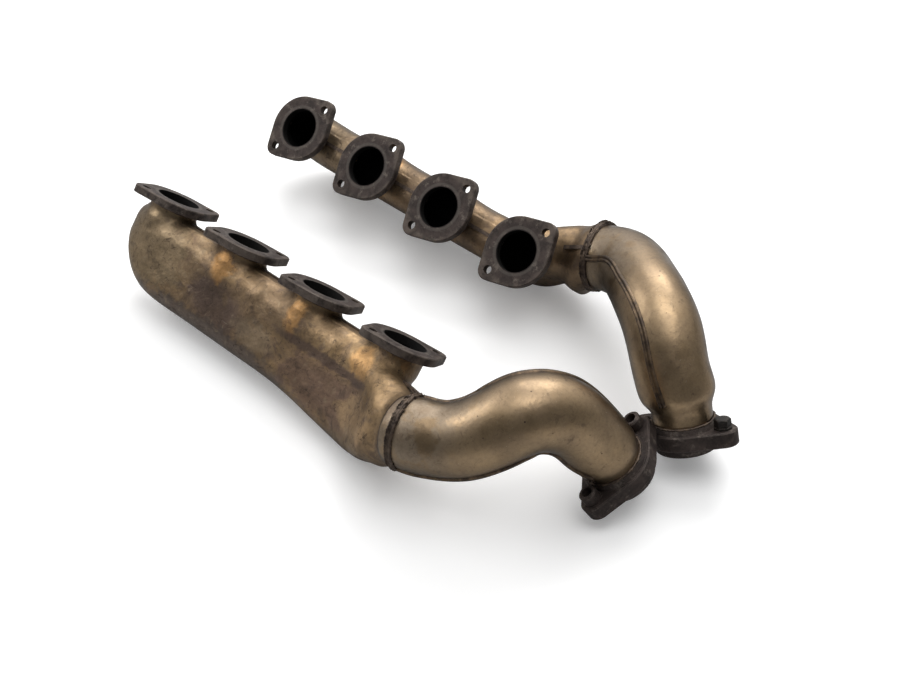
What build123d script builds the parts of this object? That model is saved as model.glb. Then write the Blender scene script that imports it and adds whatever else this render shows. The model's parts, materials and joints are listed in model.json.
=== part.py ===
from build123d import *
import os
from math import cos, sin, pi, radians

# A matched pair of stamped V8 exhaust manifolds lying on a floor, ports turned up and
# towards each other.  Every shape below is first drawn in one manifold's own frame:
#   X runs along the row of ports towards the outlet, port 1 is at X = 0
#   Z leaves the port flanges square to their faces, Z = 0 is the gasket face
#   Y points to the other manifold of the pair
# The right manifold is the mirror image of that frame.  All sizes are millimetres.

# ---- port row
PORT_PITCH = 104.0          # cylinder spacing of the engine
PORT_COUNT = 4
PORT_R = 21.6               # gas bore
PORT_FLANGE_T = 8.0
PORT_FLANGE_R = 36.5        # round middle of the flange
PORT_EAR_R = 11.0
PORT_BOLT = (18.5, 30.2)    # bolt hole offset from the bore, the other hole is opposite
PORT_BOLT_R = 4.5           # clearance for an 8 mm stud
NECK_R = 24.7               # outside of the pressed neck under each flange
NECK_Z = -36.0              # how deep the neck tube reaches into the log

# ---- pressed log
WALL = 1.5                  # sheet thickness of both shells
SADDLE_Z = -16.0            # top of the log between ports
SEAM_W = 4.0                # width of the raised seam
SEAM_H = 1.8                # height of the raised seam
PIPE_SEAM_W = 3.4           # width of the seam along the outlet pipe
ROUNDEST = 0.93             # corner radius as a share of the half width, at most
# x, y centre, half width, top z, bottom z, corner radius
LOG_SECTIONS = (
    (-36.5, 0, 5.0, -24.0, -45.0, 4.8),
    (-33.5, 0, 12.0, -19.0, -57.0, 11.0),
    (-27.0, 0, 17.5, -16.8, -69.0, 16.0),
    (-14.0, 0, 22.0, SADDLE_Z, -84.5, 19.0),
    (6.0, 0, 24.8, SADDLE_Z, -97.0, 20.0),
    (34.0, 0, 25.5, SADDLE_Z, -102.0, 20.0),
    (70.0, 0, 25.4, SADDLE_Z, -102.3, 20.0),
    (110.0, 0, 25.3, SADDLE_Z, -102.5, 20.0),
    (155.0, 0, 25.2, SADDLE_Z, -102.8, 20.0),
    (200.0, 0, 25.2, SADDLE_Z, -103.5, 20.0),
    (232.0, 0, 25.3, SADDLE_Z, -106.5, 20.5),
    (262.0, -0.5, 25.5, SADDLE_Z, -111.0, 21.0),
    (286.0, -1.0, 26.0, SADDLE_Z, -114.5, 22.0),
    (306.0, -5.0, 27.5, -16.5, -115.5, 23.5),
    (326.0, -16.0, 29.5, -21.0, -112.5, 26.0),
    (344.0, -27.0, 31.3, -26.5, -106.5, 29.0),
)

END_CAP = ((-30.0, 0, -18.0), (-36.8, 0, -32.0), (-34.5, 0, -54.0), (-25.5, 0, -71.5))

# ---- outlet pipe: x, y, z, outside radius along its centre line, then how it leaves
OUTLET = {
    "left": {
        "line": ((378, -43, -58, 32.7), (413, -36, -46, 33.7), (440, -29, -21, 34.9),
                 (459, -17, 7, 35.6), (479, 10, 16, 34.2), (500, 42, 6, 32.8), (520, 72, -8.5, 31.8)),
        "start": (0.97, 0.02, 0.22), "end": (0.51, 0.76, -0.40),
        "neck": 7.0, "ears": (-0.118, 0.529, 0.841),
    },
    "right": {
        "line": ((374, -37, -49, 33.6), (409, -42, -36, 34.3), (440, -33, -14, 34.6),
                 (466, -21, 4, 35.4), (493, -1, 10, 36.2), (519, 29, 4, 35.6),
                 (544, 62, -16, 34.6)),
        "start": (0.96, -0.23, 0.12), "end": (0.44, 0.76, -0.48),
        "neck": 19.0, "ears": (0.90, -0.37, 0.22),
    },
}
NECK_OUT_R = 28.0           # outside of the pipe where it enters the flange
SEAM_TURN = -15.0           # degrees the pipe seam is turned from the port side
STATIONS = 11                # sections along the pipe
SHOULDER = 9.0               # length over which the pipe necks down

# ---- outlet flange
FLANGE_T = 15.0
FLANGE_R = 35.0
FLANGE_EAR_R = 13.0
FLANGE_BOLT = 41.0          # half the bolt spacing
FLANGE_BOLT_R = 5.25        # clearance for a 10 mm bolt
FLANGE_BORE_R = 24.0
SEAT_H = 8.0                # cone seat that centres the joint
COLLAR_H = 4.5
BOSS_R = 8.5
BOSS_H = 11.0
BOLT_SHANK_R = 5.2          # turns freely, 0.05 in the hole
BOLT_LENGTH = 16.0

# ---- how each manifold lies on the floor: x, y, z of port 1, then tilt, pitch, yaw
PLACE = {
    "left": ((0.0, -88.45, 96.5), (-40.44, 0.41, 0.62)),
    "right": ((-4.3, 88.45, 90.33), (43.76, -0.12, -0.62)),
}
ORIGIN = (276.407, -1.043, 0.0)  # middle of the pair on the floor


def place(shape, side):
    """Mirror the right-hand parts, then lay the shape on the floor."""
    if side == "right":
        shape = mirror(shape, about=Plane.XZ)
    return lay(shape, side)


def lay(shape, side):
    pos, (tilt, pitch, yaw) = PLACE[side]
    shape = shape.rotate(Axis.X, tilt).rotate(Axis.Y, pitch).rotate(Axis.Z, yaw)
    return shape.moved(Location(tuple(p - o for p, o in zip(pos, ORIGIN))))


def cylinder(r, z0, z1, x=0.0, y=0.0):
    return Pos(x, y, (z0 + z1) / 2) * Cylinder(r, abs(z1 - z0))


def oval(r, ear_r, ex, ey):
    """Outline of a two-bolt flange: a round middle drawn out to two ears."""
    body = Sketch() + [Circle(r), Pos(ex, ey) * Circle(ear_r), Pos(-ex, -ey) * Circle(ear_r)]
    return make_hull(body.edges())


def port_flange(i, side):
    ex, ey = PORT_BOLT
    if side == "right":
        ey = -ey
    plate = extrude(oval(PORT_FLANGE_R, PORT_EAR_R, ex, ey), -PORT_FLANGE_T)
    plate = chamfer(plate.edges().group_by(Axis.Z)[-1], 0.9)
    plate -= cylinder(PORT_R, -PORT_FLANGE_T - 1, 1)
    for s in (1, -1):
        plate -= cylinder(PORT_BOLT_R, -PORT_FLANGE_T - 1, 1, s * ex, s * ey)
    return Pos(i * PORT_PITCH, 0, 0) * plate


def port_weld(i):
    """Fillet weld between the back of a port flange and its neck."""
    z = -PORT_FLANGE_T
    with BuildLine(Plane.XZ) as line:
        Polyline((NECK_R, z), (NECK_R + 3.4, z), (NECK_R + 2.4, z - 2.4), (NECK_R, z - 3.6),
                 close=True)
    ring = revolve(make_face(line.line), Axis.Z)
    return Pos(i * PORT_PITCH, 0, 0) * ring


def unit(v):
    return Vector(*v).normalized()


def start_plane(side):
    """Plane of the joint between log and outlet pipe."""
    x, y, z, _ = OUTLET[side]["line"][0]
    n = unit(OUTLET[side]["start"])
    return Plane(origin=(x, y, z), x_dir=n.cross(Vector(0, 0, 1)) * -1, z_dir=n)


def half_profile(a, h, r, hand, y_seam):
    """Half of a rounded rectangle as a chain of edges, from top seam to bottom seam."""
    c = a - r
    top = Line((y_seam, h), (hand * c, h))
    side = Line((hand * a, h - r), (hand * a, r - h))
    low = Line((hand * c, -h), (y_seam, -h))
    k = r * sin(pi / 4)
    upper = ThreePointArc((hand * c, h), (hand * (c + k), h - r + k), (hand * a, h - r))
    lower = ThreePointArc((hand * a, r - h), (hand * (c + k), r - h - k), (hand * c, -h))
    return [top, upper, side, lower, low]


def half_section(plane, a, h, r, hand):
    """Face of one pressed half: outer and inner half profiles joined at the seam."""
    r = max(min(r, ROUNDEST * a, ROUNDEST * h), WALL + 0.6)
    outer = half_profile(a, h, r, hand, 0)
    inner = half_profile(a - WALL, h - WALL, r - WALL, hand, 0)
    ends = [Line((0, h), (0, h - WALL)), Line((0, -h), (0, WALL - h))]
    return plane * make_face(Wire(outer + inner + ends))


def log_half(side, hand):
    """One pressed half of the log; hand is -1 on the outer side, 1 on the inner."""
    faces = []
    for x, y, half, top, bottom, r in LOG_SECTIONS:
        plane = Plane(origin=(x, y, (top + bottom) / 2), x_dir=(0, 1, 0), z_dir=(1, 0, 0))
        faces.append(half_section(plane, half, (top - bottom) / 2, r, hand))
    ring = OUTLET[side]["line"][0][3]
    faces.append(half_section(start_plane(side), ring, ring, ring, hand))
    shell = loft(faces)
    for i in range(PORT_COUNT):
        shell -= cylinder(NECK_R, NECK_Z, 0, i * PORT_PITCH)
    return pieces(shell, 1000.0)


def port_neck(i):
    """Short tube from the log to the back of a port flange."""
    tube = cylinder(NECK_R, NECK_Z, -PORT_FLANGE_T) - cylinder(NECK_R - WALL, NECK_Z - 1, 0)
    return Pos(i * PORT_PITCH, 0, 0) * tube


def pieces(shape, least):
    """Solids of a cut shape that are bigger than crumbs."""
    return Compound([s for s in shape.solids() if s.volume > least])


def bead_along(path, across, width, count):
    """Low square bead lofted along a path; its width lies across the seam."""
    faces = []
    for k in range(count + 1):
        tan = path % (k / count)
        flat = (across - tan * across.dot(tan)).normalized()
        plane = Plane(origin=path @ (k / count), x_dir=flat, z_dir=tan)
        faces.append(plane * Rectangle(width, SEAM_H))
    return loft(faces)


def log_seam(side):
    """Raised seam round the log: below and round the end cap, and between the necks."""
    ring = OUTLET[side]["line"][0]
    across = Vector(0, 1, 0)
    out = SEAM_H / 2
    body = [s for s in LOG_SECTIONS if s[0] > -20]
    low = [(s[0], s[1], s[4] - out) for s in body]
    low += [(ring[0] - 5, ring[1], ring[2] - ring[3] - out)]
    first = [(-NECK_R - 1.2, 0, SADDLE_Z + out - 0.6)]
    beads = [bead_along(Spline(*(first + list(END_CAP) + low)), across, SEAM_W, 40)]
    for i in range(PORT_COUNT - 1):
        a, b = i * PORT_PITCH + NECK_R + 0.3, (i + 1) * PORT_PITCH - NECK_R - 0.3
        beads.append(Pos((a + b) / 2, 0, SADDLE_Z + out) * Box(b - a, SEAM_W, SEAM_H))
    last = [s for s in body if s[0] > (PORT_COUNT - 1) * PORT_PITCH + NECK_R]
    top = [(s[0], s[1], s[3] + out) for s in last]
    top += [(ring[0] - 5, ring[1], ring[2] + ring[3] + out)]
    beads.append(bead_along(Spline(*top), across, SEAM_W, 6))
    return Compound([s for bead in beads for s in bead.solids()])


def centre_line(side):
    """Curved part of the outlet's centre line, up to the straight neck."""
    data = OUTLET[side]
    leave = unit(data["end"])
    pts = [Vector(*p[:3]) for p in data["line"]]
    pts[-1] = pts[-1] - leave * data["neck"]
    return Spline(*pts, tangents=(unit(data["start"]), leave), tangent_scalars=(1, 1))


def pipe_radius(side, t):
    """Outside radius at a fraction t of the curved pipe."""
    line = OUTLET[side]["line"]
    f = t * (len(line) - 1)
    k = min(int(f), len(line) - 2)
    s = (1 - cos(pi * (f - k))) / 2
    return line[k][3] * (1 - s) + line[k + 1][3] * s


def seam_plane(path, t):
    """Plane across the pipe; its X points at the upper seam."""
    tan = path % t
    up = (Vector(0, 0, 1) - tan * tan.Z).normalized()
    turn = radians(SEAM_TURN)
    seam = up * cos(turn) + tan.cross(up) * sin(turn)
    return Plane(origin=path @ t, x_dir=seam, z_dir=tan)


def pipe_stations(side):
    """Planes and radii: the curved pipe, then its shoulder."""
    path = centre_line(side)
    last = 1 - SHOULDER / path.length
    body = [(seam_plane(path, last * k / (STATIONS - 1)), pipe_radius(side, last * k / (STATIONS - 1)))
            for k in range(STATIONS)]
    r0 = body[-1][1]
    shoulder = []
    for k in range(5):
        s = (1 + cos(pi * k / 4)) / 2
        plane = seam_plane(path, last + (1 - last) * k / 4)
        shoulder.append((plane, NECK_OUT_R + (r0 - NECK_OUT_R) * s))
    return body, shoulder


def half_ring(plane, r, start):
    outer = CenterArc((0, 0), r, start, 180)
    inner = CenterArc((0, 0), r - WALL, start, 180)
    wire = Wire([outer, Line(outer @ 1, inner @ 1), inner, Line(inner @ 0, outer @ 0)])
    return plane * make_face(wire)


def outlet_shell(side, start):
    """One pressed half of the outlet pipe, with its shoulder and straight neck."""
    body, shoulder = pipe_stations(side)
    shell = loft([half_ring(plane, r, start) for plane, r in body])
    shell += loft([half_ring(plane, r, start) for plane, r in shoulder])
    plane, r = shoulder[-1]
    return shell + extrude(half_ring(plane, r, start), OUTLET[side]["neck"], dir=plane.z_dir)


def outlet_seam(side, sign):
    """Raised seam bead along the pipe, on the seam side or opposite."""
    body, _ = pipe_stations(side)
    rise = SEAM_H / 2 - 0.4
    pts = [plane.origin + plane.x_dir * (sign * (r + rise)) for plane, r in body]
    path = Spline(*pts)
    faces = []
    for k, (plane, _) in enumerate(body):
        tan = path % path.param_at_point(pts[k])
        flat = (plane.y_dir - tan * plane.y_dir.dot(tan)).normalized()
        faces.append(Plane(origin=pts[k], x_dir=flat, z_dir=tan) * Rectangle(PIPE_SEAM_W, SEAM_H))
    return loft(faces)


def collector_weld(side):
    """Thick double bead where the outlet pipe is joined to the log."""
    r = OUTLET[side]["line"][0][3]
    band = Cylinder(r + 1.6, 11) + Pos(0, 0, 2.7) * Torus(r + 0.6, 2.6) \
        + Pos(0, 0, -2.7) * Torus(r + 0.6, 2.6)
    return start_plane(side) * (band - Cylinder(r - 0.9, 20))


def flange_plane(side):
    data = OUTLET[side]
    n = unit(data["end"])
    ears = Vector(*data["ears"])
    return Plane(origin=data["line"][-1][:3], x_dir=(ears - n * ears.dot(n)).normalized(), z_dir=n)


def outlet_flange():
    """Flange in its own frame: Z = 0 is the pipe side, +Z is the joint side."""
    plate = extrude(oval(FLANGE_R, FLANGE_EAR_R, FLANGE_BOLT, 0), FLANGE_T)
    ends = [plate.edges().group_by(Axis.Z)[k] for k in (0, -1)]
    plate = chamfer(ends[0] + ends[1], 1.2)
    seat = Pos(0, 0, FLANGE_T + SEAT_H / 2) * Cone(FLANGE_R - 4, FLANGE_BORE_R + 4.5, SEAT_H)
    plate += seat
    plate += Pos(0, 0, -COLLAR_H / 2) * Cone(NECK_OUT_R + 2.6, NECK_OUT_R + 4.4, COLLAR_H)
    plate -= cylinder(FLANGE_BORE_R, -20, 60)
    plate -= cylinder(NECK_OUT_R, -20, FLANGE_T / 2)
    for s in (1, -1):
        plate -= cylinder(FLANGE_BOLT_R, -20, 60, s * FLANGE_BOLT)
    return plate


def flange_weld():
    """Bead between the pipe's neck and the flange collar."""
    ring = Pos(0, 0, -COLLAR_H) * Torus(NECK_OUT_R + 0.6, 2.0)
    return ring - cylinder(NECK_OUT_R, -20, 20) - cylinder(60, -COLLAR_H, 10)


def boss(s):
    """Spacer boss on the pipe side of a flange ear."""
    body = cylinder(BOSS_R, -BOSS_H, 0)
    body = chamfer(body.edges().group_by(Axis.Z)[0], 1.2)
    return Pos(s * FLANGE_BOLT, 0, 0) * (body - cylinder(FLANGE_BOLT_R, -30, 5))


def outlet_bolt():
    """Flanged hex-head bolt through the free ear, head on the pipe side."""
    gap = 0.05
    washer = cylinder(8.4, -gap - 2.0, -gap)
    hexagon = Pos(0, 0, -gap - 2.0) * extrude(RegularPolygon(8.0, 6), -8.0)
    shank = cylinder(BOLT_SHANK_R, -gap, BOLT_LENGTH - 2)
    tip = Pos(0, 0, BOLT_LENGTH - 1) * Cone(BOLT_SHANK_R, BOLT_SHANK_R - 1.2, 2)
    return Pos(FLANGE_BOLT, 0, 0) * (washer + hexagon + shank + tip)


def save(name, shape, side):
    shape = place(shape, side)
    shape.label = name
    export_step(shape, "parts/" + side + "_" + name + ".step")


def build(side):
    for i in range(PORT_COUNT):
        save("port_flange_" + str(i + 1), port_flange(i, side), side)
        save("port_weld_" + str(i + 1), port_weld(i), side)
        save("port_neck_" + str(i + 1), port_neck(i), side)
    save("log_shell_outer", log_half(side, -1), side)
    save("log_shell_inner", log_half(side, 1), side)
    save("log_seam_weld", log_seam(side), side)
    save("outlet_shell_front", outlet_shell(side, 0), side)
    save("outlet_shell_back", outlet_shell(side, 180), side)
    save("outlet_seam_upper", outlet_seam(side, 1), side)
    save("outlet_seam_lower", outlet_seam(side, -1), side)
    save("collector_weld", collector_weld(side), side)
    seat = flange_plane(side)
    save("outlet_flange", seat * outlet_flange(), side)
    save("outlet_flange_weld", seat * flange_weld(), side)


os.makedirs("parts", exist_ok=True)
for hand in ("left", "right"):
    build(hand)
save("boss_upper", flange_plane("left") * boss(1), "left")
save("boss_lower", flange_plane("left") * boss(-1), "left")
save("outlet_bolt", flange_plane("right") * outlet_bolt(), "right")
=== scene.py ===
import json
import math

import bmesh
import bpy
import numpy as np
from mathutils import Euler, Matrix, Vector, noise
from mathutils.bvhtree import BVHTree


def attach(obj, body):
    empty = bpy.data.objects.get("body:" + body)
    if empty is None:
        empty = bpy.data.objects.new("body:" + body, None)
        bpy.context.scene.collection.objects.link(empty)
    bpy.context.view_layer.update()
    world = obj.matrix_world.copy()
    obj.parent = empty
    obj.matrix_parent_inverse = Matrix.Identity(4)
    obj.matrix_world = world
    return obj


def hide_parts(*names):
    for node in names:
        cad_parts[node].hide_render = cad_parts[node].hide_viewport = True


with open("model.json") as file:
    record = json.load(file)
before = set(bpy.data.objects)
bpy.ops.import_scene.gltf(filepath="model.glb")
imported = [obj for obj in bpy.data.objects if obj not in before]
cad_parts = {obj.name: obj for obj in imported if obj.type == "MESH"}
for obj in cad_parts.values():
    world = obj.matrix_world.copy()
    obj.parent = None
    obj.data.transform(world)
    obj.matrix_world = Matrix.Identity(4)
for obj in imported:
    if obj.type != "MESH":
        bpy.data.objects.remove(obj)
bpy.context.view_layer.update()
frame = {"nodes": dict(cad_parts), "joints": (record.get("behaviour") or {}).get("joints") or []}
nodes = frame["nodes"]
SIDES = ("left", "right")
PITCH = 104.0                               # mm between ports
PORTS = 4

# how each manifold lies on the floor: its own frame is X along the ports, Z out of them
MID = (276.407, -1.043, 0.0)
LIE = {
    "left": ((0.0, -88.45, 96.5), (-40.44, 0.41, 0.62), 1.0),
    "right": ((-4.3, 88.45, 90.33), (43.76, -0.12, -0.62), -1.0),
}


def own_frame(side):
    """Matrix from one manifold's own millimetres to scene metres."""
    pos, turn, hand = LIE[side]
    move = Matrix.Translation(Vector([(p - o) / 1000 for p, o in zip(pos, MID)]))
    spin = Euler([math.radians(a) for a in turn], "XYZ").to_matrix().to_4x4()
    return move @ spin @ Matrix.Diagonal((0.001, 0.001 * hand, 0.001, 1.0))


OWN = {side: own_frame(side) for side in SIDES}


# ------------------------------------------------------------------ node material helper
class Mat:
    """Short names for building a node material whose position input is millimetres."""

    def __init__(self, name, side=None):
        self.mat = bpy.data.materials.new(name)
        self.mat.use_nodes = True
        self.t = self.mat.node_tree
        self.t.nodes.clear()
        self.out = self.t.nodes.new("ShaderNodeOutputMaterial")
        self.bsdf = self.t.nodes.new("ShaderNodeBsdfPrincipled")
        self.t.links.new(self.bsdf.outputs[0], self.out.inputs[0])
        coord = self.t.nodes.new("ShaderNodeTexCoord")
        self.world = coord.outputs["Object"]
        mapping = self.t.nodes.new("ShaderNodeMapping")
        mapping.vector_type = "TEXTURE"
        hand = 1.0
        if side:
            pos, turn, hand = LIE[side]
            mapping.inputs["Location"].default_value = [(p - o) / 1000 for p, o in zip(pos, MID)]
            mapping.inputs["Rotation"].default_value = [math.radians(a) for a in turn]
        mapping.inputs["Scale"].default_value = (0.001, 0.001 * hand, 0.001)
        self.t.links.new(self.world, mapping.inputs["Vector"])
        self.p = mapping.outputs[0]
        split = self.t.nodes.new("ShaderNodeSeparateXYZ")
        self.t.links.new(self.p, split.inputs[0])
        self.x, self.y, self.z = split.outputs

    def put(self, socket, value):
        if isinstance(value, bpy.types.NodeSocket):
            self.t.links.new(value, socket)
        elif hasattr(socket.default_value, "__len__") and isinstance(value, (tuple, list)):
            want = len(socket.default_value)
            socket.default_value = (tuple(value) + (1.0,) * want)[:want]
        else:
            socket.default_value = value

    def m(self, op, a, b=0.0, c=0.0):
        n = self.t.nodes.new("ShaderNodeMath")
        n.operation = op
        for socket, value in zip(n.inputs, (a, b, c)):
            self.put(socket, value)
        return n.outputs[0]

    def stretch(self, sx=1.0, sy=1.0, sz=1.0):
        n = self.t.nodes.new("ShaderNodeMapping")
        self.put(n.inputs["Vector"], self.p)
        n.inputs["Scale"].default_value = (sx, sy, sz)
        return n.outputs[0]

    def noise(self, size, detail=4.0, rough=0.55, where=None, warp=0.0, shift=0.0):
        """Noise whose blotches are about size mm across, 0 to 1."""
        n = self.t.nodes.new("ShaderNodeTexNoise")
        n.noise_dimensions = "4D"
        self.put(n.inputs["Vector"], where or self.p)
        n.inputs["W"].default_value = shift
        n.inputs["Scale"].default_value = 1.0 / size
        n.inputs["Detail"].default_value = detail
        n.inputs["Roughness"].default_value = rough
        n.inputs["Distortion"].default_value = warp
        return n.outputs[0]

    def cells(self, size, feature="F1", where=None):
        n = self.t.nodes.new("ShaderNodeTexVoronoi")
        n.feature = feature
        self.put(n.inputs["Vector"], where or self.p)
        n.inputs["Scale"].default_value = 1.0 / size
        return n.outputs["Distance"]

    def step(self, value, lo, hi, a=0.0, b=1.0):
        """Smooth ramp of value from lo..hi to a..b."""
        n = self.t.nodes.new("ShaderNodeMapRange")
        n.interpolation_type = "SMOOTHSTEP"
        names = ("Value", "From Min", "From Max", "To Min", "To Max")
        for key, v in zip(names, (value, lo, hi, a, b)):
            self.put(n.inputs[key], v)
        return n.outputs[0]

    def mix(self, k, a, b, kind="MIX"):
        n = self.t.nodes.new("ShaderNodeMix")
        n.data_type = "RGBA"
        n.blend_type = kind
        self.put(n.inputs[0], k)
        self.put(n.inputs[6], a)
        self.put(n.inputs[7], b)
        return n.outputs[2]

    def patch(self, cx, cz, rx, rz, ragged, edge=0.32):
        """1 inside an oval of the log's side face, 0 outside, with a ragged edge."""
        u = self.m("MULTIPLY_ADD", self.x, 1 / rx, -cx / rx)
        v = self.m("MULTIPLY_ADD", self.z, 1 / rz, -cz / rz)
        d = self.m("ADD", self.m("MULTIPLY", u, u), self.m("MULTIPLY", v, v))
        d = self.m("MULTIPLY_ADD", ragged, 2.6, self.m("ADD", self.m("SQRT", d), -1.3))
        return self.step(d, 1.0 - edge, 1.0 + edge, 1.0, 0.0)

    def port_distance(self):
        """Millimetres from the nearest port's axis."""
        port = self.m("MULTIPLY", self.m("ROUND", self.m("DIVIDE", self.x, PITCH)), PITCH)
        along = self.m("SUBTRACT", self.x, port)
        square = self.m("ADD", self.m("MULTIPLY", along, along), self.m("MULTIPLY", self.y, self.y))
        return self.m("SQRT", square)

    def bump(self, height, depth_mm, normal=None):
        n = self.t.nodes.new("ShaderNodeBump")
        n.inputs["Strength"].default_value = 1.0
        n.inputs["Distance"].default_value = depth_mm / 1000
        self.put(n.inputs["Height"], height)
        if normal is not None:
            self.put(n.inputs["Normal"], normal)
        return n.outputs[0]

    def edge(self, radius_mm):
        """1 on sharp outside edges."""
        b = self.t.nodes.new("ShaderNodeBevel")
        b.samples = 4
        b.inputs["Radius"].default_value = radius_mm / 1000
        g = self.t.nodes.new("ShaderNodeNewGeometry")
        d = self.t.nodes.new("ShaderNodeVectorMath")
        d.operation = "DOT_PRODUCT"
        self.put(d.inputs[0], b.outputs[0])
        self.put(d.inputs[1], g.outputs["Normal"])
        return self.step(d.outputs["Value"], 0.80, 0.99, 1.0, 0.0)

    def painted_shade_turned_away(self, colour, k=0.75):
        """Darkens a colour where the surface turns away from view: painted shade on the sides seen edge-on.
        """
        n = self.t.nodes.new("ShaderNodeLayerWeight")
        n.inputs["Blend"].default_value = 0.42
        away = self.step(n.outputs["Facing"], 0.25, 0.95, 0.0, k)
        return self.mix(away, colour, (0.035, 0.026, 0.020))

    def set(self, colour, metal, rough, normal=None):
        self.put(self.bsdf.inputs["Base Color"], colour)
        self.put(self.bsdf.inputs["Metallic"], metal)
        self.put(self.bsdf.inputs["Roughness"], rough)
        if normal is not None:
            self.put(self.bsdf.inputs["Normal"], normal)
        return self.mat


# ------------------------------------------------------------------ materials
GOLD = (0.36, 0.242, 0.128)
BRONZE = (0.225, 0.155, 0.092)
ORANGE_TINT_AND_HIGHLIGHT = (0.52, 0.29, 0.115)
KHAKI = (0.285, 0.212, 0.130)
GREY = (0.135, 0.108, 0.092)
PURPLE = (0.125, 0.088, 0.075)
SOOT = (0.0022, 0.002, 0.0018)
BORE_R = 21.6                               # gas bore of a port flange, mm

# centre x, centre z, half length, half height, colour, strength on the log's side face
LOG_TINTS_AND_HIGHLIGHTS = (
    (10, -45, 55, 42, KHAKI, 0.9),
    (120, -66, 42, 26, PURPLE, 0.85),
    (120, -96, 110, 13, GREY, 0.9),
    (165, -40, 44, 22, BRONZE, 0.75),
    # these two orange ovals over the runners under ports 2 and 3 are partly heat tint and partly a painted
    # highlight
    (104, -27, 13, 15, ORANGE_TINT_AND_HIGHLIGHT, 0.9),
    (208, -31, 10, 17, ORANGE_TINT_AND_HIGHLIGHT, 0.8),
    (296, -32, 14, 14, (0.56, 0.33, 0.14), 0.85),
    (175, -70, 28, 12, (0.32, 0.24, 0.16), 0.7),
    (275, -76, 62, 24, (0.235, 0.155, 0.115), 0.8),
    (255, -50, 60, 5, PURPLE, 0.8),
    (322, -76, 26, 16, (0.50, 0.34, 0.19), 0.8),
)


def log_skin(side):
    """Heat-tinted stainless sheet of the log: blotches, partly painted highlights over the runners, tide
    lines, soot specks and rough oxide.
    """
    s = Mat(f"{side}_log_sheet", side)
    big = s.noise(70, 5, 0.6, warp=0.6)
    mid = s.noise(22, 5, 0.62, warp=0.8, shift=3.1)
    fine = s.noise(4, 6, 0.7, shift=7.7)
    grit = s.noise(0.9, 3, 0.7)
    tone = s.mix(s.step(big, 0.38, 0.62), BRONZE, GOLD)
    tone = s.mix(s.step(mid, 0.50, 0.72), tone, (0.17, 0.12, 0.088))
    for cx, cz, rx, rz, colour, k in LOG_TINTS_AND_HIGHLIGHTS:
        if side == "right":
            cx, cz = cx + 9, cz * 0.9
        tone = s.mix(s.m("MULTIPLY", s.patch(cx, cz, rx, rz, mid), k), tone, colour)
    cloud = s.noise(11, 6, 0.68, warp=1.0, shift=12.0)
    tone = s.mix(s.step(cloud, 0.50, 0.66, 0.0, 0.50), tone, (0.090, 0.066, 0.052))
    tone = s.mix(s.step(cloud, 0.46, 0.30, 0.0, 0.35), tone, (0.42, 0.33, 0.22))
    tone = s.mix(s.step(fine, 0.35, 0.75, 0.0, 0.6), tone, s.mix(0.5, tone, (0.07, 0.055, 0.045)))
    # thin dark tide lines that follow the edges of the blotches
    line = s.m("ABSOLUTE", s.m("SUBTRACT", s.noise(34, 3, 0.5, warp=1.2, shift=5.5), 0.5))
    line = s.m("MULTIPLY", s.step(line, 0.001, 0.007, 1.0, 0.0), s.step(cloud, 0.44, 0.56))
    tone = s.mix(s.m("MULTIPLY", line, 0.6), tone, (0.05, 0.038, 0.032))
    if side == "right":
        tone = s.mix(0.35, tone, (0.115, 0.084, 0.062))
    # gathered dirt: fine specks and dark spots
    speck = s.step(s.cells(7.0, where=s.stretch(1, 1, 1.3)), 0.06, 0.14, 1.0, 0.0)
    speck = s.m("MULTIPLY", speck, s.step(fine, 0.50, 0.60))
    tone = s.mix(s.m("MULTIPLY", speck, 0.7), tone, (0.04, 0.03, 0.025))
    scratch = s.step(s.noise(1.0, 2, 0.5, where=s.stretch(0.035, 1.4, 1.4), shift=2.0), 0.70, 0.76)
    tone = s.mix(s.m("MULTIPLY", scratch, 0.25), tone, (0.75, 0.66, 0.52))
    rough = s.m("ADD", s.step(mid, 0.3, 0.75, 0.34, 0.56), s.m("MULTIPLY", fine, 0.12))
    rough = s.m("ADD", rough, s.m("MULTIPLY", line, 0.2))
    n = s.bump(s.noise(24, 3, 0.5, shift=9.0), 2.2)
    n = s.bump(cloud, 0.35, n)
    n = s.bump(fine, 0.16, n)
    n = s.bump(grit, 0.04, n)
    # painted shade where the log's sheet turns away from view
    return s.set(s.painted_shade_turned_away(tone, 0.6), 0.92, rough, n)


def seam_skin(side):
    """Raised seam: dark noise-mottled metal, with painted shade where its sides turn away from view."""
    s = Mat(f"{side}_seam_sheet", side)
    mid = s.noise(9, 4, 0.6)
    fine = s.noise(2, 5, 0.7, shift=3.0)
    tone = s.mix(s.step(mid, 0.35, 0.65), (0.060, 0.045, 0.035), (0.165, 0.115, 0.072))
    tone = s.mix(s.step(fine, 0.45, 0.75, 0.0, 0.6), tone, (0.035, 0.027, 0.022))
    # painted shade where the seam's sides turn away from view
    return s.set(s.painted_shade_turned_away(tone, 0.5), 0.9, s.m("MULTIPLY_ADD", fine, 0.25, 0.30), s.bump(fine, 0.12))


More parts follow.
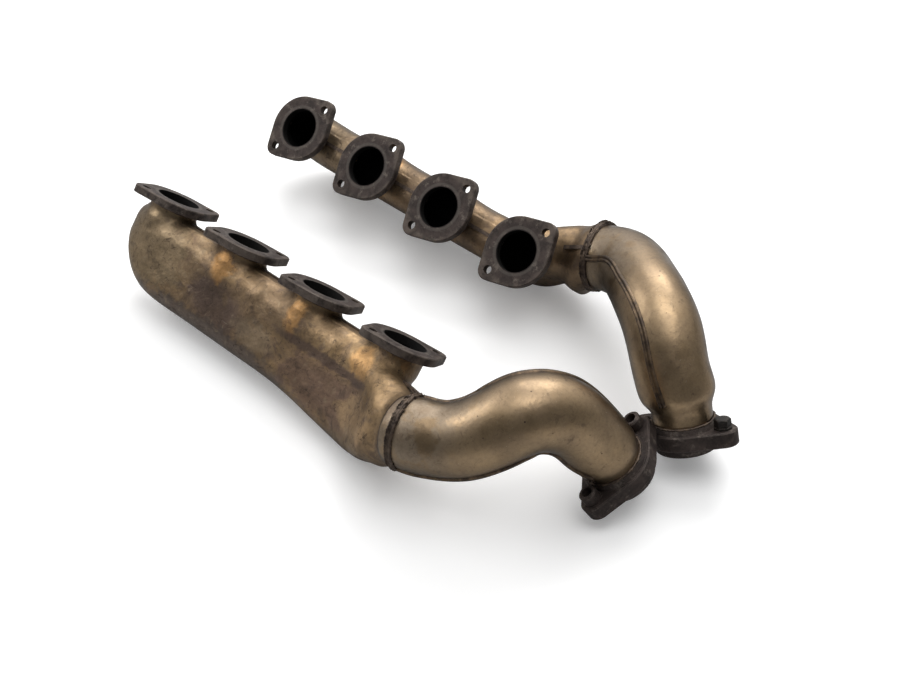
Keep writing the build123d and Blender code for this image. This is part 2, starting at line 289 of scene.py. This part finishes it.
def pipe_skin(side):
    """Satin golden tint of the outlet pipe: soft clouds, a few spots and light scratches."""
    s = Mat(f"{side}_pipe_sheet", side)
    big = s.noise(60, 4, 0.5, warp=0.5, shift=1.0)
    mid = s.noise(16, 5, 0.6, shift=4.0)
    fine = s.noise(3, 5, 0.7, shift=6.0)
    tone = s.mix(s.step(big, 0.36, 0.66), (0.250, 0.178, 0.108), (0.405, 0.288, 0.170))
    haze = s.m("MULTIPLY", s.step(s.x, 400, 455, 1.0, 0.15), s.step(mid, 0.36, 0.56))
    tone = s.mix(s.m("MULTIPLY", haze, 0.75), tone, (0.285, 0.235, 0.180))
    tone = s.mix(s.step(mid, 0.52, 0.80, 0.0, 0.7), tone, (0.20, 0.142, 0.095))
    tone = s.mix(s.step(fine, 0.40, 0.75, 0.0, 0.35), tone, (0.14, 0.10, 0.07))
    # heat darkens the pipe near the collector weld
    near = s.step(s.x, 352, 378, 1.0, 0.0)
    tone = s.mix(s.m("MULTIPLY", near, s.step(mid, 0.3, 0.6, 0.3, 0.9)), tone, (0.15, 0.105, 0.078))
    spot = s.step(s.cells(15.0), 0.035, 0.075, 1.0, 0.0)
    tone = s.mix(s.m("MULTIPLY", spot, 0.85), tone, (0.05, 0.035, 0.03))
    cloud = s.noise(9, 6, 0.68, warp=1.2, shift=15.0)
    tone = s.mix(s.step(cloud, 0.54, 0.70, 0.0, 0.55), tone, (0.12, 0.085, 0.06))
    scratch = s.step(s.noise(1.0, 2, 0.5, where=s.stretch(1.2, 0.045, 1.2), shift=8.0), 0.69, 0.74)
    tone = s.mix(s.m("MULTIPLY", scratch, 0.35), tone, (0.85, 0.76, 0.62))
    rough = s.m("ADD", s.step(mid, 0.3, 0.8, 0.25, 0.40), s.m("MULTIPLY", fine, 0.12))
    rough = s.m("ADD", rough, s.m("MULTIPLY", haze, 0.12))
    n = s.bump(s.noise(40, 2, 0.4, shift=2.5), 1.2)
    n = s.bump(cloud, 0.25, n)
    n = s.bump(fine, 0.06, n)
    # painted shade where the pipe turns away from view
    return s.set(s.painted_shade_turned_away(tone, 0.85), 0.96, rough, n)


def plate_skin(side, name, turned=False):
    """Oxidised flange plate: dark scale, pitted worn patches, lighter edges, soot in the bore."""
    s = Mat(f"{side}_{name}", side)
    mid = s.noise(14, 5, 0.65, warp=0.5)
    fine = s.noise(2.2, 6, 0.7, shift=3.0)
    tone = s.mix(s.step(mid, 0.35, 0.70), (0.030, 0.022, 0.0195), (0.072, 0.053, 0.046))
    tone = s.mix(s.step(fine, 0.45, 0.75, 0.0, 0.7), tone, (0.085, 0.066, 0.057))
    worn = s.m("MULTIPLY", s.step(s.noise(9, 4, 0.6, shift=9.0), 0.52, 0.66), s.step(fine, 0.38, 0.58))
    tone = s.mix(s.m("MULTIPLY", worn, 0.55), tone, (0.22, 0.185, 0.155))
    pits = s.step(s.cells(2.6), 0.12, 0.30, 1.0, 0.0)
    tone = s.mix(s.m("MULTIPLY", pits, 0.5), tone, (0.02, 0.015, 0.013))
    tone = s.mix(s.m("MULTIPLY", s.edge(0.9), 0.55), tone, (0.17, 0.145, 0.125))
    n = s.bump(fine, 0.12)
    n = s.bump(pits, -0.10, n)
    rough = s.m("ADD", 0.50, s.m("MULTIPLY", fine, 0.3))
    if not turned:
        r = s.port_distance()
        lip = s.m("MULTIPLY", s.step(r, 22.2, 23.2), s.step(r, 25.0, 26.5, 1.0, 0.0))
        tone = s.mix(s.m("MULTIPLY", lip, 0.35), tone, (0.13, 0.115, 0.10))
        out_r = s.m("MULTIPLY", s.step(r, 31, 37), s.step(mid, 0.35, 0.62))
        tone = s.mix(s.m("MULTIPLY", out_r, 0.55), tone, (0.15, 0.122, 0.10))
        inside = s.step(r, BORE_R - 0.2, BORE_R + 1.2, 1.0, 0.0)
        tone = s.mix(inside, tone, SOOT)
        rough = s.m("ADD", rough, s.m("MULTIPLY", inside, 0.2))
        n = s.bump(s.step(s.m("SINE", s.m("MULTIPLY", r, 5.5)), -1, 1), 0.02, n)
    return s.set(tone, 0.55, rough, n)


def weld_skin(side):
    """Weld metal: dark straw to blue-brown ripples."""
    s = Mat(f"{side}_weld_metal", side)
    mid = s.noise(8, 4, 0.6)
    fine = s.noise(1.6, 5, 0.7, shift=4.0)
    tone = s.mix(s.step(mid, 0.35, 0.7), (0.060, 0.045, 0.037), (0.150, 0.110, 0.080))
    tone = s.mix(s.step(fine, 0.45, 0.75, 0.0, 0.6), tone, (0.05, 0.038, 0.032))
    return s.set(tone, 0.8, s.m("ADD", 0.38, s.m("MULTIPLY", fine, 0.3)), s.bump(fine, 0.18))


def soot_skin(side):
    """Sooty inside of the tubes."""
    s = Mat(f"{side}_soot", side)
    fine = s.noise(3.0, 5, 0.7)
    tone = s.mix(s.step(fine, 0.4, 0.7), SOOT, (0.006, 0.0055, 0.005))
    s.put(s.bsdf.inputs["Specular IOR Level"], 0.1)
    return s.set(tone, 0.0, 0.9, s.bump(fine, 0.2))


def bolt_skin():
    """Black oxidised bolt, rubbed along its edges."""
    s = Mat("bolt_black")
    fine = s.noise(1.5, 5, 0.7)
    tone = s.mix(s.step(fine, 0.4, 0.7), (0.012, 0.010, 0.009), (0.045, 0.036, 0.03))
    tone = s.mix(s.m("MULTIPLY", s.edge(0.6), 0.5), tone, (0.12, 0.10, 0.085))
    return s.set(tone, 0.5, s.m("ADD", 0.45, s.m("MULTIPLY", fine, 0.3)), s.bump(fine, 0.15))


# ------------------------------------------------------------------ sheet skins
# Middle of the log and of each outlet pipe, in the manifold's own millimetres. The skins below
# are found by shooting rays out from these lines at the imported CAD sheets.
LOG_AXIS = ((-30.0, 0.0, -37.0), (-14.0, 0.0, -50.0), (6.0, 0.0, -57.0), (34.0, 0.0, -59.0),
            (200.0, 0.0, -60.0), (262.0, -0.5, -63.5), (286.0, -1.0, -65.0), (306.0, -5.0, -66.0),
            (326.0, -16.0, -66.5), (344.0, -27.0, -66.5))
# the second point of a pipe is the middle of its join with the log
PIPE_AXIS = {
    "left": ((345, -28, -66), (378, -43, -58), (413, -36, -46), (440, -29, -21), (459, -17, 7),
             (479, 10, 16), (500, 42, 6), (520, 72, -8.5), (523.6, 77.3, -11.3)),
    "right": ((345, -28, -62), (374, -37, -49), (409, -42, -36), (440, -33, -14), (466, -21, 4),
              (493, -1, 10), (519, 29, 4), (544, 62, -16), (547, 67.3, -19.4)),
}
JOIN = {"left": (0.97, 0.02, 0.22), "right": (0.96, -0.23, 0.12)}   # the way the log ends
JOIN_R = {"left": 32.3, "right": 33.2}      # the log's round end, just inside the collector weld
EASE = (24.0, 4.0)                          # mm before the join where the log starts and ends turning round
AROUND = 96                                 # points round each ring
STEP = 2.0                                  # mm between rings
TURN_X = {"log": (300.0, 334.0), "pipe": (352.0, 386.0)}   # where the rings turn to or from the join's way
LOG_END_X = 338.0                           # rings beyond this may miss part of the log
NECK_TOP = -8.0                             # back of the port flanges
NECK_HOLE_R = 23.6                          # the necks are opened to this radius
LOG_WALL = 0.0012                           # metres
PIPE_WALL = 0.0015
LEAST_R = 20.0                              # a shorter ray has met the inside of the bend, mm


def curve_points(points, step):
    """Evenly spaced points on a smooth curve through the given ones."""
    p = [Vector(q) for q in points]
    p = [p[0] * 2 - p[1]] + p + [p[-1] * 2 - p[-2]]
    dense = []
    for i in range(1, len(p) - 2):
        for k in range(40):
            t = k / 40
            a, b, c, d = p[i - 1:i + 3]
            dense.append(0.5 * (2 * b + (c - a) * t + (2 * a - 5 * b + 4 * c - d) * t * t
                                + (3 * b - a - 3 * c + d) * t ** 3))
    dense.append(p[-2])
    out, left = [dense[0]], step
    for a, b in zip(dense, dense[1:]):
        gap = (b - a).length
        while gap >= left:
            a = a + (b - a) * (left / gap)
            gap = (b - a).length
            out.append(a)
            left = step
        left -= gap
    return out


def cad_tree(side, names):
    """Ray target made of CAD nodes, in the manifold's own millimetres."""
    back = OWN[side].inverted()
    verts, faces = [], []
    for name in names:
        data = nodes[f"{side}_{name}"].data
        start = len(verts)
        verts += [back @ v.co for v in data.vertices]
        faces += [[start + i for i in f.vertices] for f in data.polygons]
    return BVHTree.FromPolygons(verts, faces)


def farthest(tree, origin, ray, reach=60.0):
    """Distance to the last surface a ray meets."""
    best, at = None, 0.0
    for _ in range(12):
        hit = tree.ray_cast(origin + ray * at, ray, reach - at)
        if hit[0] is None:
            break
        at += hit[3] + 0.01
        best = at
    return best


def share(value, start, end):
    """0 at start, 1 at end and even in between."""
    return min(1.0, max(0.0, (value - start) / (end - start)))


def rings_of(tree, axis, join, log):
    """Rings of radii round an axis, facing along X on the log, then the join's way, then the pipe's."""
    join = Vector(join).normalized()
    frames, radii = [], []
    prev = Vector((0, 1, 0))
    for k, o in enumerate(axis):
        t = (axis[min(k + 1, len(axis) - 1)] - axis[max(k - 1, 0)]).normalized()
        if log:
            t = Vector((1, 0, 0)).lerp(join, share(o.x, *TURN_X["log"])).normalized()
        else:
            t = join.lerp(t, share(o.x, *TURN_X["pipe"])).normalized()
        u = (prev - t * prev.dot(t)).normalized()
        v = t.cross(u)
        prev = u
        row = []
        for j in range(AROUND):
            a = 2 * math.pi * j / AROUND
            row.append(farthest(tree, o, u * math.cos(a) + v * math.sin(a)))
        frames.append((o, u, v))
        radii.append(row)
    return frames, radii


def meet_join(side, frames, radii):
    """Eases the last rings of the log onto the round end of the outlet pipe."""
    middle, way = Vector(PIPE_AXIS[side][1]), Vector(JOIN[side]).normalized()
    for (o, u, v), row in zip(frames, radii):
        ahead = (middle - o).dot(way)
        k = share(ahead, *EASE)
        k = k * k * (3 - 2 * k)
        off = o + way * ahead - middle
        off = (off.dot(u), off.dot(v))
        for j in range(AROUND if k else 0):
            a = 2 * math.pi * j / AROUND
            t = off[0] * math.cos(a) + off[1] * math.sin(a)
            onto = math.sqrt(t * t + JOIN_R[side] ** 2 - off[0] ** 2 - off[1] ** 2) - t
            row[j] += (onto - row[j]) * k


def fill_gaps(frames, radii, floor_r=0.0):
    """Bridges missing hits straight across, as the sheet would run."""
    for row in radii:
        good = [j for j, r in enumerate(row) if r is not None and r > floor_r]
        if not good:
            continue
        for n, j in enumerate(good):
            k = good[(n + 1) % len(good)]
            span = (k - j) % AROUND
            if span <= 1:
                continue
            aj, ak = 2 * math.pi * j / AROUND, 2 * math.pi * k / AROUND
            pa = Vector((math.cos(aj), math.sin(aj))) * row[j]
            pb = Vector((math.cos(ak), math.sin(ak))) * row[k]
            for s in range(1, span):
                a = 2 * math.pi * (j + s) / AROUND
                d = Vector((math.cos(a), math.sin(a)))
                e = pb - pa
                den = d.x * -e.y + d.y * e.x
                bridge = (pa.x * -e.y + pa.y * e.x) / den if abs(den) > 1e-6 else row[j]
                row[(j + s) % AROUND] = max(4.0, bridge)


def soften(radii, times, along, around):
    """Evens out facets in a grid of radii."""
    rows = radii
    n = len(rows)
    for _ in range(times):
        new = []
        for i in range(n):
            a, b, c = rows[max(i - 1, 0)], rows[i], rows[min(i + 1, n - 1)]
            w = 0.25 * along if 0 < i < n - 1 else 0.0
            q = 0.25 * around
            new.append([b[j] * (1 - 2 * w - 2 * q) + w * (a[j] + c[j])
                        + q * (b[j - 1] + b[(j + 1) % AROUND])
                        for j in range(AROUND)])
        rows = new
    return rows


def ring_mesh(frames, radii, closed):
    """Vertices and faces of a tube, in the manifold's own millimetres."""
    verts, faces = [], []
    for (o, u, v), row in zip(frames, radii):
        for j, r in enumerate(row):
            a = 2 * math.pi * j / AROUND
            verts.append(o + (u * math.cos(a) + v * math.sin(a)) * r)
    n = len(radii)
    for i in range(n - 1):
        for j in range(AROUND):
            k = (j + 1) % AROUND
            faces.append((i * AROUND + j, i * AROUND + k, (i + 1) * AROUND + k, (i + 1) * AROUND + j))
    if closed:
        faces.append(tuple(range(AROUND))[::-1])
        faces.append(tuple((n - 1) * AROUND + j for j in range(AROUND)))
    return verts, faces


def thicken(obj, metres, inside):
    """Gives a skin its sheet thickness, with its own material on the inside."""
    obj.data.materials.append(inside)
    wall = obj.modifiers.new("wall", "SOLIDIFY")
    wall.thickness = metres
    wall.offset = -1.0
    wall.material_offset = 1
    wall.material_offset_rim = 1
    apply_modifiers(obj)
    obj.data.shade_smooth()


def new_piece(name, verts, faces, mat, body, slot, side=None):
    """A smooth-shaded mesh piece that rides on a CAD body."""
    data = bpy.data.meshes.new(name)
    if side:
        verts = [OWN[side] @ v for v in verts]
    data.from_pydata(verts, [], faces)
    bm = bmesh.new()
    bm.from_mesh(data)
    bmesh.ops.recalc_face_normals(bm, faces=bm.faces[:])
    bm.to_mesh(data)
    bm.free()
    data.shade_smooth()
    data.materials.append(mat)
    obj = bpy.data.objects.new(name, data)
    bpy.context.collection.objects.link(obj)
    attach(obj, body)
    return obj


def apply_modifiers(obj):
    """Bakes an object's modifiers into its mesh."""
    deps = bpy.context.evaluated_depsgraph_get()
    mesh = bpy.data.meshes.new_from_object(obj.evaluated_get(deps))
    obj.modifiers.clear()
    old = obj.data
    obj.data = mesh
    bpy.data.meshes.remove(old)


def run_on(frames, radii, at_end):
    """Carries the last or the first ring one step further, under the weld."""
    a, b = (frames[-2], frames[-1]) if at_end else (frames[1], frames[0])
    o, u, v = b
    more = (o + (o - a[0]), u, v)
    if at_end:
        return frames + [more], radii + [list(radii[-1])]
    return [more] + frames, [list(radii[0])] + radii


def log_rings(side):
    """Rings of the log's outside, from its closed end to the collector weld."""
    tree = cad_tree(side, ("log_shell_outer", "log_shell_inner"))
    axis = curve_points(((-36.2, 0, -35.0), (-30.0, 0.0, -37.0)), STEP / 2)[:-1]
    axis += curve_points(LOG_AXIS + (PIPE_AXIS[side][1],), STEP)
    frames, radii = rings_of(tree, axis, JOIN[side], True)
    keep = []
    for k, row in enumerate(radii):
        least = 0.4 if frames[k][0].x < LOG_END_X else 0.12
        if sum(r is not None for r in row) > AROUND * least:
            keep.append(k)
    frames, radii = [frames[k] for k in keep], [radii[k] for k in keep]
    last = max(k for k, f in enumerate(frames) if f[0].x < LOG_END_X)
    fill_gaps(frames, radii[:last + 1])
    for k in range(last + 1, len(radii)):
        radii[k] = [b if b is not None and b > 0.8 * a else a for a, b in zip(radii[k - 1], radii[k])]
    meet_join(side, frames, radii)
    frames, radii = run_on(frames, radii, True)
    return frames, soften(radii, 4, 0.9, 0.5)


def add_necks(verts, faces, count=64):
    """Adds the four necks as plain closed cylinders, which are then melted into the log."""
    rows = ((NECK_TOP, 25.0), (-20.0, 25.2), (-34.0, 25.6))
    for i in range(PORTS):
        base = len(verts)
        for z, r in rows:
            for j in range(count):
                a = 2 * math.pi * j / count
                verts.append(Vector((PITCH * i + r * math.cos(a), r * math.sin(a), z)))
        for k in range(len(rows) - 1):
            for j in range(count):
                m = (j + 1) % count
                faces.append((base + k * count + j, base + k * count + m,
                              base + (k + 1) * count + m, base + (k + 1) * count + j))
        faces.append(tuple(base + j for j in range(count)))
        faces.append(tuple(base + 2 * count + j for j in range(count))[::-1])


def melt_necks(side, data):
    """Smooths the hard corners between necks and log, and swells the runner under each port."""
    n = len(data.vertices)
    co = np.zeros(n * 3)
    data.vertices.foreach_get("co", co)
    edges = np.zeros(len(data.edges) * 2, int)
    data.edges.foreach_get("vertices", edges)
    e0, e1 = edges.reshape(-1, 2).T
    back = np.array(OWN[side].inverted())
    own = co.reshape(-1, 3) @ back[:3, :3].T + back[:3, 3]
    near = own[:, 0] - np.clip(np.round(own[:, 0] / PITCH), 0, PORTS - 1) * PITCH
    r = np.hypot(near, own[:, 1])
    z = own[:, 2]
    melt = np.clip((-11.0 - z) / 5.0, 0, 1) * np.clip((z + 52.0) / 20.0, 0, 1)
    melt *= np.clip((46.0 - r) / 14.0, 0, 1)
    weight = np.maximum(melt, 0.12)
    weight[z > -10.0] = 0.0
    degree = np.bincount(np.concatenate((e0, e1)), minlength=n).astype(float)
    for step in range(60):
        w = weight if step < 12 else np.where(weight > 0.12, weight, 0.0)
        total = np.stack([np.bincount(e0, own[e1, c], n) + np.bincount(e1, own[e0, c], n)
                          for c in range(3)], 1)
        own += (total / degree[:, None] - own) * (0.55 * w)[:, None]
    # each port's runner swells out of the outer side and fades downwards
    z = own[:, 2]
    runner = np.exp(-(near / 19.0) ** 2) * np.clip((z + 74) / 34, 0, 1) * np.clip((-15 - z) / 8, 0, 1)
    pinch = np.exp(-((np.abs(near) - 40.0) / 12.0) ** 2) * np.clip((z + 60) / 30, 0, 1)
    swell = -2.2 * runner + 1.2 * pinch * (own[:, 0] < 290)
    own[:, 1] += np.where(own[:, 1] < -12, swell, 0.0)
    full = np.array(OWN[side])
    co = own @ full[:3, :3].T + full[:3, 3]
    data.vertices.foreach_set("co", co.astype(np.float32).ravel())


def open_necks(side, data):
    """Cuts the necks' tops away so that the bores run into the log."""
    back = OWN[side].inverted()
    bm = bmesh.new()
    bm.from_mesh(data)
    drop = []
    for f in bm.faces:
        p = back @ f.calc_center_median()
        q = p.x - min(PORTS - 1, max(0, round(p.x / PITCH))) * PITCH
        if p.z > NECK_TOP - 1.5 and math.hypot(q, p.y) < NECK_HOLE_R:
            drop.append(f)
    bmesh.ops.delete(bm, geom=drop, context="FACES")
    bm.to_mesh(data)
    bm.free()


def log_sheet(side, mat, inside):
    """The log with its four pressed necks flowing into it, as one smooth sheet."""
    verts, faces = ring_mesh(*log_rings(side), True)
    add_necks(verts, faces)
    obj = new_piece(f"{side}_log_sheet", verts, faces, mat, f"{side}_manifold", "shell_dark", side)
    remesh = obj.modifiers.new("melt", "REMESH")
    remesh.mode = "VOXEL"
    remesh.voxel_size = 0.0017
    remesh.use_smooth_shade = True
    apply_modifiers(obj)
    melt_necks(side, obj.data)
    open_necks(side, obj.data)
    thicken(obj, LOG_WALL, inside)
    necks = [f"{side}_port_neck_{i}" for i in range(1, PORTS + 1)]
    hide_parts(f"{side}_log_shell_outer", f"{side}_log_shell_inner", *necks)


def pipe_sheet(side, mat, inside):
    """Outlet pipe as one smooth sheet."""
    tree = cad_tree(side, ("outlet_shell_front", "outlet_shell_back"))
    frames, radii = rings_of(tree, curve_points(PIPE_AXIS[side], STEP), JOIN[side], False)

    def met(row):
        return sum(r is not None and r > LEAST_R for r in row) / AROUND

    half = len(radii) // 2
    keep = [k for k, row in enumerate(radii) if met(row) > (0.12 if k < half else 0.6)]
    frames, radii = [frames[k] for k in keep], [radii[k] for k in keep]
    first = next(k for k, row in enumerate(radii) if met(row) > 0.9)
    fill_gaps(frames, radii[first:], LEAST_R)
    for k in range(first - 1, -1, -1):
        radii[k] = [b if b is not None and b > 0.8 * a else a for a, b in zip(radii[k + 1], radii[k])]
    frames, radii = run_on(frames, radii, False)
    radii = soften(radii, 10, 0.9, 0.9)
    obj = new_piece(f"{side}_outlet_pipe_sheet", *ring_mesh(frames, radii, False), mat,
                    f"{side}_manifold", "shell_gold", side)
    thicken(obj, PIPE_WALL, inside)
    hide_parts(f"{side}_outlet_shell_front", f"{side}_outlet_shell_back")
    return frames, radii


# distance along the skin and height over it, round one raised double seam, mm
SEAM_PROFILE = ((-4.2, -0.9), (-3.7, 0.0), (-2.9, 1.4), (-1.8, 2.1), (-0.6, 1.5), (0.0, 0.6),
                (0.6, 1.5), (1.8, 2.1), (2.9, 1.4), (3.7, 0.0), (4.2, -0.9))


def seam_line(tree, frames):
    """For each ring that meets the CAD seam: its number and the seam's angle round it, evened out."""
    met, turn = [], []
    for k, (o, u, v) in enumerate(frames):
        hits = []
        for j in range(AROUND * 4):
            a = 2 * math.pi * j / (AROUND * 4)
            if farthest(tree, o, u * math.cos(a) + v * math.sin(a)) is not None:
                hits.append(a)
        if hits:
            met.append(k)
            turn.append(math.atan2(sum(map(math.sin, hits)), sum(map(math.cos, hits))))
    for k in range(1, len(turn)):
        turn[k] -= 2 * math.pi * round((turn[k] - turn[k - 1]) / (2 * math.pi))
    for _ in range(12):
        middle = [(a + 2 * b + c) / 4 for a, b, c in zip(turn, turn[1:], turn[2:])]
        turn = [turn[0]] + middle + [turn[-1]]
    return met, turn


def pipe_seams(side, mat, frames, radii):
    """The double raised seam along both sides of the pipe."""
    for which in ("upper", "lower"):
        met, turn = seam_line(cad_tree(side, (f"outlet_seam_{which}",)), frames)
        verts, faces = [], []
        for k, (ring, a) in enumerate(zip(met, turn)):
            o, u, v = frames[ring]
            row = radii[ring]
            r0 = row[int(round(a / (2 * math.pi) * AROUND)) % AROUND]
            for d, h in SEAM_PROFILE:
                b = a + d / r0
                f = b / (2 * math.pi) * AROUND
                j = math.floor(f)
                r = row[j % AROUND] * (1 - f + j) + row[(j + 1) % AROUND] * (f - j)
                wobble = 0.25 * noise.noise(Vector((k * 0.09, d, 3.0))) if h > 0 else 0.0
                verts.append(o + (u * math.cos(b) + v * math.sin(b)) * (r + h + wobble))
        w, n = len(SEAM_PROFILE), len(met)
        for k in range(n - 1):
            for c in range(w):
                e = (c + 1) % w
                faces.append((k * w + c, k * w + e, (k + 1) * w + e, (k + 1) * w + c))
        faces.append(tuple(range(w))[::-1])
        faces.append(tuple((n - 1) * w + c for c in range(w)))
        name = f"{side}_pipe_seam_{which}"
        obj = new_piece(name, verts, faces, mat, f"{side}_manifold", "shell_gold", side)
        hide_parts(f"{side}_outlet_seam_{which}")


def rough_bead(side, name, mat, lump=0.5, grow=0.0, width=1.0):
    """A weld bead with the lumps and ripples of real weld metal. Width narrows it along the join."""
    data = nodes[f"{side}_{name}"].data.copy()
    data.materials.clear()
    data.materials.append(mat)
    obj = bpy.data.objects.new(f"{side}_{name}_metal", data)
    bpy.context.collection.objects.link(obj)
    remesh = obj.modifiers.new("even", "REMESH")
    remesh.mode = "VOXEL"
    remesh.voxel_size = 0.0009
    apply_modifiers(obj)
    data = obj.data
    data.shade_smooth()
    middle = OWN[side] @ Vector(PIPE_AXIS[side][1])
    way = (OWN[side].to_3x3() @ Vector(JOIN[side])).normalized()
    for v in data.vertices:
        v.co += way * ((v.co - middle).dot(way) * (width - 1.0))
        q = v.co * 1000
        a = noise.noise(q * 0.16) * lump + noise.noise(q * 0.55 + Vector((9, 4, 2))) * lump * 0.6
        v.co += v.normal * ((a + grow) / 1000)
    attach(obj, f"{side}_manifold")
    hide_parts(f"{side}_{name}")


def paint(name, mat):
    """Gives a CAD node one material all over."""
    data = nodes[name].data
    data.materials.clear()
    data.materials.append(mat)
    for face in data.polygons:
        face.material_index = 0


def dress(side):
    """Materials, sheet skins, seams and welds of one manifold."""
    weld, soot = weld_skin(side), soot_skin(side)
    plate, outlet = plate_skin(side, "port_plate"), plate_skin(side, "outlet_plate", True)
    for i in range(1, PORTS + 1):
        paint(f"{side}_port_flange_{i}", plate)
    paint(f"{side}_outlet_flange", outlet)
    paint(f"{side}_log_seam_weld", weld)
    log_sheet(side, log_skin(side), soot)
    rings = pipe_sheet(side, pipe_skin(side), soot)
    pipe_seams(side, seam_skin(side), *rings)
    rough_bead(side, "collector_weld", weld, lump=0.9, grow=-0.8, width=0.72)
    rough_bead(side, "outlet_flange_weld", weld)
    for i in range(1, PORTS + 1):
        rough_bead(side, f"port_weld_{i}", weld)
    return outlet


def outlet_bolt(mat):
    """Flanged hex-head bolt left in the right outlet flange, with rolled threads."""
    joint = next(j for j in frame["joints"] if j["name"] == "bolt_turn")
    axis = Vector(joint["axis"]).normalized()
    place = Matrix.Translation(Vector(joint["pos_m"])) @ axis.to_track_quat("Z", "Y").to_matrix().to_4x4()
    count = 48

    def hexagon(r, a):
        """Distance to a hexagon's side whose corners are r away."""
        k = (a + math.pi / 6) % (math.pi / 3) - math.pi / 6
        return r * math.cos(math.pi / 6) / math.cos(k)

    # radius, height, and 1 where the row follows the hexagon: head, washer face, then the thread
    rows = [(0.0, -10.0, 0), (5.2, -10.0, 0), (6.6, -9.7, 1), (7.9, -9.0, 1), (8.0, -2.8, 1),
            (7.6, -2.3, 1), (8.2, -2.05, 0), (8.35, -1.2, 0), (8.3, -0.25, 0), (7.9, -0.06, 0),
            (5.15, -0.05, 0)]
    z = 0.6
    while z < 13.6:
        rows += [(5.15, z, 0), (4.62, z + 0.6, 0)]
        z += 1.25
    rows += [(5.1, 14.2, 0), (4.4, 15.2, 0), (0.0, 15.2, 0)]
    verts, faces = [], []
    for r, z, flat in rows:
        for j in range(count):
            a = 2 * math.pi * j / count
            q = min(r, hexagon(7.9, a) if flat else r)
            verts.append(place @ Vector((q * math.cos(a) / 1000, q * math.sin(a) / 1000, z / 1000)))
    for k in range(len(rows) - 1):
        for j in range(count):
            m = (j + 1) % count
            faces.append((k * count + j, k * count + m, (k + 1) * count + m, (k + 1) * count + j))
    obj = new_piece("outlet_bolt_detail", verts, faces, mat, "outlet_bolt", "bolt_black")
    bm = bmesh.new()
    bm.from_mesh(obj.data)
    bmesh.ops.remove_doubles(bm, verts=bm.verts[:], dist=1e-6)
    bmesh.ops.recalc_face_normals(bm, faces=bm.faces[:])
    bm.to_mesh(obj.data)
    bm.free()
    obj.data.shade_flat()
    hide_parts("right_outlet_bolt")


left_outlet = dress("left")
paint("left_boss_upper", left_outlet)
paint("left_boss_lower", left_outlet)
dress("right")
outlet_bolt(bolt_skin())

# ------------------------------------------------------------------ floor, light and camera
def studio_floor():
    """Pale floor, a little brighter to the camera than to the object."""
    mesh = bpy.data.meshes.new("floor")
    mesh.from_pydata([(-6, -6, 0), (6, -6, 0), (6, 6, 0), (-6, 6, 0)], [], [(0, 1, 2, 3)])
    floor = bpy.data.objects.new("floor", mesh)
    bpy.context.collection.objects.link(floor)
    f = Mat("studio_floor")
    seen = f.t.nodes.new("ShaderNodeLightPath").outputs["Is Camera Ray"]
    mesh.materials.append(f.set(f.mix(seen, (0.52, 0.52, 0.52), (0.90, 0.90, 0.90)), 0.0, 0.7))
    f.put(f.bsdf.inputs["Emission Color"], (1.0, 1.0, 1.0))
    f.put(f.bsdf.inputs["Emission Strength"], f.m("MULTIPLY", seen, 0.20))


def studio_world():
    """Soft light that is brightest from high behind the object; plain white to the camera."""
    world = bpy.data.worlds.new("studio")
    bpy.context.scene.world = world
    world.use_nodes = True
    tree = world.node_tree
    tree.nodes.clear()
    out = tree.nodes.new("ShaderNodeOutputWorld")
    background = tree.nodes.new("ShaderNodeBackground")
    background.inputs["Color"].default_value = (1.0, 1.0, 1.0, 1.0)
    aim = tree.nodes.new("ShaderNodeVectorMath")
    aim.operation = "DOT_PRODUCT"
    aim.inputs[1].default_value = Vector((-0.35, 0.50, 0.79)).normalized()
    ramp = tree.nodes.new("ShaderNodeMapRange")
    ramp.interpolation_type = "SMOOTHSTEP"
    for key, v in zip(("From Min", "From Max", "To Min", "To Max"), (0.30, 0.95, 0.16, 1.25)):
        ramp.inputs[key].default_value = v
    seen = tree.nodes.new("ShaderNodeMix")
    seen.inputs[3].default_value = 1.0
    links = (
        (tree.nodes.new("ShaderNodeTexCoord").outputs["Generated"], aim.inputs[0]),
        (aim.outputs["Value"], ramp.inputs["Value"]),
        (tree.nodes.new("ShaderNodeLightPath").outputs["Is Camera Ray"], seen.inputs[0]),
        (ramp.outputs[0], seen.inputs[2]),
        (seen.outputs[0], background.inputs["Strength"]),
        (background.outputs[0], out.inputs[0]),
    )
    for source, target in links:
        tree.links.new(source, target)


def area(name, at, size, watts):
    """Rectangular softbox aimed at the object."""
    data = bpy.data.lights.new(name, "AREA")
    data.shape = "RECTANGLE"
    data.size, data.size_y = size
    data.energy = watts
    obj = bpy.data.objects.new(name, data)
    obj.location = at
    obj.rotation_euler = (Vector((0.0, 0.0, 0.05)) - Vector(at)).to_track_quat("-Z", "Y").to_euler()
    bpy.context.collection.objects.link(obj)


def studio_camera():
    """Looks down on the pair from its front left corner."""
    camera = bpy.data.cameras.new("view")
    camera.lens = 49.56
    camera.sensor_width = 36.0
    eye = bpy.data.objects.new("view", camera)
    right = Vector((0.7589, 0.6510, 0.0176)).normalized()
    ahead = Vector((-0.4507, 0.5447, -0.7072)).normalized()
    up = right.cross(ahead).normalized()
    right = ahead.cross(up).normalized()
    turn = Matrix((right, up, -ahead)).transposed().to_4x4()
    eye.matrix_world = Matrix.Translation((0.5806, -0.6783, 0.9059)) @ turn
    bpy.context.collection.objects.link(eye)
    bpy.context.scene.camera = eye


studio_floor()
studio_world()
area("softbox_back", (-0.6, 1.5, 1.7), (1.6, 0.9), 26)
area("softbox_left", (-1.5, -0.7, 1.3), (1.0, 0.8), 12)
area("softbox_top", (0.3, 0.1, 2.3), (1.4, 1.4), 14)
studio_camera()
bpy.context.scene.view_settings.view_transform = "Standard"
